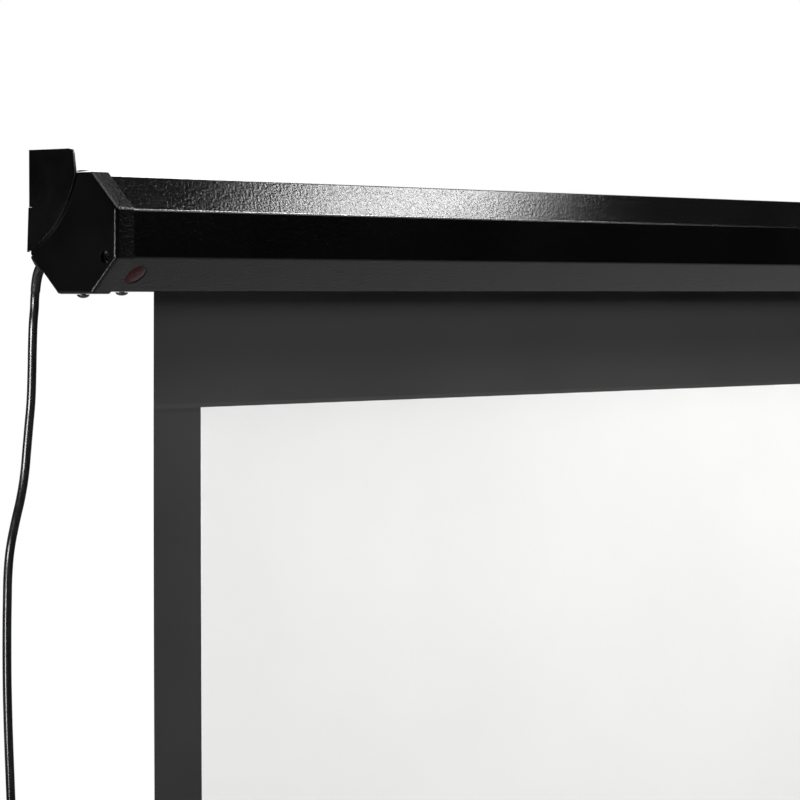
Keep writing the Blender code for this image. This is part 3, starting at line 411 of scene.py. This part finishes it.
# For each screw: how far in from the case's end, y, z, the head's rise, and where the head points.
screw_places = {
    "cap_screw_top": (0.0092, -0.046, -0.0019, 0.0014, "up"),
    "cap_screw_bottom": (0.0092, -0.046, -0.0888, 0.0026, "down"),
    "support_screw": (0.0430, -0.0506, -0.0873, 0.0024, "down"),
}
for side, out in (("left", -1), ("right", 1)):
    for spot, (inward, y, z, rise, way) in screw_places.items():
        name = f"black_{spot}_{side}"
        screw = domed_screw(name, head_radius, rise, shank_radius, shank_length)
        recess_turn = Matrix.Rotation(0.5 * out + 9 * z, 4, "Z")
        head_way = Matrix.Rotation(0 if way == "up" else math.pi, 4, "X")
        place = Matrix.Translation((out * (case_end - inward), y, z))
        screw.data.transform(place @ head_way @ recess_turn)
        finish_shading(screw, 40)
        stand_for(screw, black_oxide, f"{spot}_{side}", "case_body")

# Infrared window: a dark red moulded lens, clear to the light of the remote control.
# It is pushed into the lower slant from inside, and the receiver's board sits behind it.
red_acrylic, tree, shader = paint("red_acrylic")
shader.inputs["Specular IOR Level"].default_value = 0.1
haze = grain(tree, 500, 2.0)
set_finish(
    shader,
    colour=tint(tree, haze, (0.013, 0.0008, 0.0018), (0.020, 0.0012, 0.0027)),
    roughness=between(tree, haze, 0.14, 0.22),
)
lens = eased("infrared_window", "red_lens", 0.0001)
stand_for(lens, red_acrylic, "infrared_window", "case_body")

# Fabric: fibreglass cloth, black all over, with a matt white coating over the picture area.
# The drop and the borders are welded strips. It hangs from the roller, its long edges curled back.
fabric_y, fabric_top, fabric_foot = -0.0365, -0.046, -1.4664
half_width, half_picture = 1.156, 1.107
picture_top, picture_foot = -0.1726, -1.4176
cloth_thickness, coating_thickness = 0.0003, 0.0002
# The long edges curl back over this width, by this much, and draw in; the middle waves a little.
curl_width, curl_depth, edge_draw, wave_depth = 0.16, 0.0055, 0.0052, 0.0007


def hang(made, front):
    """Moves a flat sheet's points to how the cloth hangs: held flat by the roller and the bar."""
    for vert in made.data.vertices:
        x, z = vert.co.x, vert.co.z
        down = (fabric_top - z) / (fabric_top - fabric_foot)
        slack = math.sin(math.pi * min(1.0, max(0.0, (down - 0.03) / 0.97)) ** 0.62)
        edge = max(0.0, (abs(x) - half_width + curl_width) / curl_width)
        curl = curl_depth * slack * edge**2.2
        wave = wave_depth * slack * math.sin(5.3 * x + 1.1) * math.sin(7.9 * down + 0.4)
        vert.co.x = x - math.copysign(edge_draw * slack * edge**1.5, x)
        vert.co.y = fabric_y - front + curl + wave


def sheet_of(name, half, top, foot, columns, rows, front, thick):
    """A hanging sheet of cloth, of the thickness given behind its front."""
    bpy.ops.object.select_all(action="DESELECT")
    bpy.ops.mesh.primitive_grid_add(
        x_subdivisions=columns, y_subdivisions=rows, size=1, rotation=(math.pi / 2, 0, 0)
    )
    made = bpy.context.object
    made.name = name
    made.scale = (2 * half, top - foot, 1)
    made.location = (0, 0, (top + foot) / 2)
    bpy.ops.object.transform_apply(location=True, rotation=True, scale=True)
    hang(made, front)
    back = made.modifiers.new("thickness", "SOLIDIFY")
    back.thickness = thick
    back.offset = -1
    bpy.ops.object.modifier_apply(modifier=back.name)
    bpy.ops.object.shade_smooth_by_angle(angle=math.radians(40))
    return made


def near(tree, value, middle, half):
    """1 on a line across the cloth, falling to 0 at half its width to either side."""
    away = tree.nodes.new("ShaderNodeMath")
    away.operation = "SUBTRACT"
    away.inputs[1].default_value = middle
    tree.links.new(value, away.inputs[0])
    size = tree.nodes.new("ShaderNodeMath")
    size.operation = "ABSOLUTE"
    tree.links.new(away.outputs["Value"], size.inputs[0])
    return between(tree, size.outputs["Value"], 1, 0, 0, half)


cloth_size = (2 * half_width, fabric_top - fabric_foot, 1)
black_coating, tree, shader = paint("black_coating")
shader.inputs["Specular IOR Level"].default_value = 0.5
weave = grain(tree, 1300, 1.0, cloth_size, "UV")
clouds = grain(tree, 6, 4.0, cloth_size, "UV")
place = tree.nodes.new("ShaderNodeTexCoord")
parts = tree.nodes.new("ShaderNodeSeparateXYZ")
tree.links.new(place.outputs["UV"], parts.inputs["Vector"])
# The drop is welded on at the picture's top; these are shares of the cloth's height.
weld = (picture_top - fabric_foot) / (fabric_top - fabric_foot)
weld_blur, weld_half = 0.0008, 0.0022
strip = between(tree, parts.outputs["Y"], 0, 1, weld - weld_blur, weld + weld_blur)
borders = tint(tree, clouds, (0.0085, 0.0085, 0.009), (0.012, 0.012, 0.0125))
drop = tint(tree, clouds, (0.0075, 0.0075, 0.008), (0.0115, 0.0115, 0.012))
blend = tree.nodes.new("ShaderNodeMix")
blend.data_type = "RGBA"
tree.links.new(strip, blend.inputs["Factor"])
tree.links.new(borders, blend.inputs["A"])
tree.links.new(drop, blend.inputs["B"])
threads = relief(tree, weave, 0.3, 0.0002)
seam = near(tree, parts.outputs["Y"], weld, weld_half)
set_finish(
    shader,
    colour=blend.outputs["Result"],
    roughness=between(tree, clouds, 0.50, 0.58),
    surface=relief(tree, seam, 0.6, 0.0003, threads),
)
cloth = sheet_of(
    "black_cloth",
    half_width,
    fabric_top,
    fabric_foot,
    columns=150,
    rows=110,
    front=0.0,
    thick=cloth_thickness,
)
cloth.data.materials.append(black_coating)
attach(cloth, "case_body")
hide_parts("top_drop", "side_border_left", "side_border_right", "bottom_border")
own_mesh(cloth)

matt_white, tree, shader = paint("matt_white")
shader.inputs["Specular IOR Level"].default_value = 0.2
picture_size = (2 * half_picture, picture_top - picture_foot, 1)
weave = grain(tree, 1300, 1.0, picture_size, "UV")
clouds = grain(tree, 5, 3.0, picture_size, "UV")
set_finish(
    shader,
    colour=tint(tree, clouds, (0.85, 0.85, 0.845), (0.875, 0.875, 0.87)),
    roughness=between(tree, clouds, 0.82, 0.90),
    surface=relief(tree, weave, 0.15, 0.0001),
)
picture = sheet_of(
    "white_picture",
    half_picture,
    picture_top,
    picture_foot,
    columns=140,
    rows=100,
    front=coating_thickness,
    thick=coating_thickness,
)
picture.data.materials.append(matt_white)
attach(picture, "case_body")
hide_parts("picture_area")
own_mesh(picture)

# Fabric on the roller: two turns of the same cloth that never leave the tube, wound as a spiral
# and glued along the groove. The hanging cloth comes off its rear.
wound = bpy.data.meshes.new("wound_line")
roller_y, roller_z = -0.05825, -0.046
turns, steps, outer_radius, turn_pitch = 2.0, 128, 0.02105, 0.00038
spiral = []
for step in range(steps + 1):
    angle = turns * 2 * math.pi * step / steps
    radius = outer_radius - turn_pitch * angle / (2 * math.pi)
    y, z = roller_y + radius * math.cos(angle), roller_z + radius * math.sin(angle)
    spiral.append((-half_width, y, z))
wound.from_pydata(spiral, [(i, i + 1) for i in range(steps)], [])
wraps = bpy.data.objects.new("wound_cloth", wound)
bpy.context.scene.collection.objects.link(wraps)
bpy.ops.object.select_all(action="DESELECT")
wraps.select_set(True)
bpy.context.view_layer.objects.active = wraps
bpy.ops.object.mode_set(mode="EDIT")
bpy.ops.mesh.select_all(action="SELECT")
bpy.ops.mesh.extrude_region_move(TRANSFORM_OT_translate={"value": (2 * half_width, 0, 0)})
bpy.ops.object.mode_set(mode="OBJECT")
ply = wraps.modifiers.new("ply", "SOLIDIFY")
ply.thickness = cloth_thickness
ply.offset = 0
bpy.ops.object.modifier_apply(modifier=ply.name)
bpy.ops.object.shade_smooth_by_angle(angle=math.radians(40))
wound_coating, tree, shader = paint("wound_coating")
shader.inputs["Specular IOR Level"].default_value = 0.5
weave = grain(tree, 1300, 1.0)
clouds = grain(tree, 6, 4.0)
set_finish(
    shader,
    colour=tint(tree, clouds, (0.0095, 0.0095, 0.010), (0.0135, 0.0135, 0.014)),
    roughness=between(tree, clouds, 0.50, 0.58),
    surface=relief(tree, weave, 0.3, 0.0002),
)
stand_for(wraps, wound_coating, "fabric_wraps", "roller_body")

# Weight bar: a black anodised aluminium extrusion, drawn lengthwise, with a moulded plug in
# each end. The fabric's hem runs in its top channel over a pale keder rod.
anodised, tree, shader = paint("black_anodised")
shader.inputs["Metallic"].default_value = 0.55
drawn = grain(tree, 260, 4.0, (0.02, 1, 1))
set_finish(
    shader,
    colour=tint(tree, drawn, (0.012, 0.012, 0.0125), (0.024, 0.024, 0.025)),
    roughness=between(tree, drawn, 0.30, 0.42),
    surface=relief(tree, drawn, 0.15, 0.0001),
)
bar = eased("weight_bar", "extruded_bar", 0.0002)
stand_for(bar, anodised, "weight_bar", "bar_body")
for side in ("left", "right"):
    end = eased(f"bar_cap_{side}", f"moulded_bar_end_{side}", 0.0005)
    stand_for(end, moulded_pvc, f"bar_cap_{side}", "bar_body")

# Inside the case: zinc-plated steel brackets, roller and screws, and the motor's painted tube.
# Grey and natural mouldings carry the drive; the receiver is a small circuit board.
def dress(material, *names):
    """Gives CAD nodes one material."""
    for name in names:
        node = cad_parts[name]
        node.data.materials.clear()
        node.data.materials.append(material)


dress(moulded_pvc, "mains_lead", "motor_lead", "receiver_lead")
zinc, tree, shader = paint("zinc_plate")
shader.inputs["Metallic"].default_value = 1.0
spangle = grain(tree, 240, 4.0)
set_finish(
    shader,
    colour=tint(tree, spangle, (0.40, 0.41, 0.43), (0.60, 0.61, 0.63)),
    roughness=between(tree, spangle, 0.30, 0.46),
)
dress(zinc, "motor_support", "motor_screw_upper", "motor_screw_lower", "motor_shaft")
dress(zinc, "idler_support", "idler_pin", "roller_tube")
dress(zinc, "bracket_screw_upper_left", "bracket_screw_lower_left")
dress(zinc, "bracket_screw_upper_right", "bracket_screw_lower_right")
motor_paint, tree, shader = paint("motor_paint")
shader.inputs["Metallic"].default_value = 0.3
set_finish(
    shader,
    colour=tint(tree, grain(tree, 90, 3.0), (0.025, 0.025, 0.03), (0.04, 0.04, 0.045)),
    roughness=between(tree, grain(tree, 600, 2.0), 0.35, 0.5),
)
dress(motor_paint, "motor_tube")
grey_moulding, tree, shader = paint("grey_moulding")
eroded = grain(tree, 2400, 2.0)
set_finish(
    shader,
    colour=tint(tree, grain(tree, 70, 3.0), (0.14, 0.14, 0.15), (0.18, 0.18, 0.19)),
    roughness=between(tree, eroded, 0.45, 0.6),
    surface=relief(tree, eroded, 0.25, 0.0002),
)
dress(grey_moulding, "crown_ring", "drive_wheel", "idler_plug", "control_box")
natural_moulding, tree, shader = paint("natural_moulding")
set_finish(
    shader,
    colour=tint(tree, grain(tree, 120, 3.0), (0.56, 0.55, 0.51), (0.66, 0.65, 0.61)),
    roughness=between(tree, grain(tree, 2000, 2.0), 0.4, 0.55),
)
dress(natural_moulding, "idler_bush", "keder_rod")
black_moulding, tree, shader = paint("black_moulding")
shader.inputs["Specular IOR Level"].default_value = 0.2
eroded = grain(tree, 2000, 2.0)
set_finish(
    shader,
    colour=tint(tree, grain(tree, 200, 3.0), (0.0016, 0.0016, 0.0018), (0.003, 0.003, 0.0032)),
    roughness=between(tree, eroded, 0.5, 0.65),
    surface=relief(tree, eroded, 0.2, 0.0002),
)
dress(black_moulding, "motor_head", "limit_screw_up", "limit_screw_down")
solder_mask, tree, shader = paint("solder_mask")
set_finish(
    shader,
    colour=tint(tree, grain(tree, 900, 2.0), (0.012, 0.08, 0.035), (0.02, 0.12, 0.05)),
    roughness=between(tree, grain(tree, 1500, 2.0), 0.3, 0.45),
)
dress(solder_mask, "receiver_board")

# Studio: a pale floor under the hanging screen, a white surround, and soft lamps out of view.
# The surround is white to the camera; polished parts see its white paper only behind the screen.
bpy.ops.mesh.primitive_plane_add(size=9, location=(0, -0.5, -1.70))
floor = bpy.context.object
floor.name = "studio_floor"
floor_paint, tree, shader = paint("floor_paint")
set_finish(shader, tint(tree, grain(tree, 3, 3.0), (0.70, 0.70, 0.70), (0.73, 0.73, 0.73)))
shader.inputs["Roughness"].default_value = 0.7
shader.inputs["Specular IOR Level"].default_value = 0.2
floor.data.materials.append(floor_paint)

world = bpy.data.worlds.new("studio")
bpy.context.scene.world = world
world.use_nodes = True
tree = world.node_tree


def light_of(grey):
    """An even light of one grey from all around."""
    made = tree.nodes.new("ShaderNodeBackground")
    made.inputs["Color"].default_value = (grey, grey, grey, 1)
    return made.outputs["Background"]


def choose(value, first, second):
    """The second light where the value is 1, else the first."""
    made = tree.nodes.new("ShaderNodeMixShader")
    tree.links.new(value, made.inputs["Fac"])
    tree.links.new(first, made.inputs[1])
    tree.links.new(second, made.inputs[2])
    return made.outputs["Shader"]


# Polished parts see a white paper in the direction that the camera looks, and black elsewhere.
direction = tree.nodes.new("ShaderNodeTexCoord")
facing = tree.nodes.new("ShaderNodeVectorMath")
facing.operation = "DOT_PRODUCT"
facing.inputs[1].default_value = looking
tree.links.new(direction.outputs["Generated"], facing.inputs[0])
paper = between(tree, facing.outputs["Value"], 0, 1, 0.80, 0.92)
ray = tree.nodes.new("ShaderNodeLightPath")
black_cloth_grey, fill_grey = 0.006, 0.24
mirrored = choose(paper, light_of(black_cloth_grey), light_of(1))
surround = choose(ray.outputs["Is Glossy Ray"], light_of(fill_grey), mirrored)
seen = tree.nodes.new("ShaderNodeMath")
seen.operation = "MAXIMUM"
tree.links.new(ray.outputs["Is Camera Ray"], seen.inputs[0])
tree.links.new(ray.outputs["Is Transmission Ray"], seen.inputs[1])
shown = choose(seen.outputs["Value"], surround, light_of(1))
tree.links.new(shown, tree.nodes["World Output"].inputs["Surface"])


def softbox(name, place, aim, wide, high, power, spread=180):
    """A soft lamp of the size given, which the camera doesn't see; spread narrows its beam."""
    bpy.ops.object.light_add(type="AREA", location=place)
    lamp = bpy.context.object
    lamp.name = name
    lamp.data.shape = "RECTANGLE"
    lamp.data.size = wide
    lamp.data.size_y = high
    lamp.data.energy = power
    lamp.data.spread = math.radians(spread)
    lamp.rotation_euler = (Vector(aim) - Vector(place)).to_track_quat("-Z", "Y").to_euler()
    lamp.visible_camera = False


# For each lamp: its place, what it points at, its width and height, its watts, its beam in degrees.
softbox("slant_light", (0.31, -0.03, 1.03), (-0.90, -0.07, -0.02), 0.16, 0.28, 3.4)
softbox("crease_light", (0.93, -0.93, 1.44), (-0.6, -0.07, -0.10), 0.45, 0.45, 7, 60)
softbox("front_light", (1.8, -2.4, 1.2), (0.1, 0, -0.8), 1.4, 1.4, 46)
softbox("top_light", (0, -0.8, 3.2), (0, -0.3, -1.0), 3.0, 2.0, 84)
softbox("rim_light", (-2.44, -0.12, -0.03), (-1.246, -0.07, -0.04), 0.70, 0.14, 1.3, 50)
softbox("low_light", (-2.10, -0.06, -0.88), (-1.246, -0.07, -0.08), 0.60, 0.14, 1.0, 50)
softbox("cord_light", (-2.40, -0.20, -0.45), (-1.27, 0, -0.30), 0.12, 0.34, 9)
softbox("back_light", (1.6, 3.0, 1.6), (0, 0, -0.4), 1.6, 1.6, 60)

bpy.context.scene.view_settings.view_transform = "Standard"
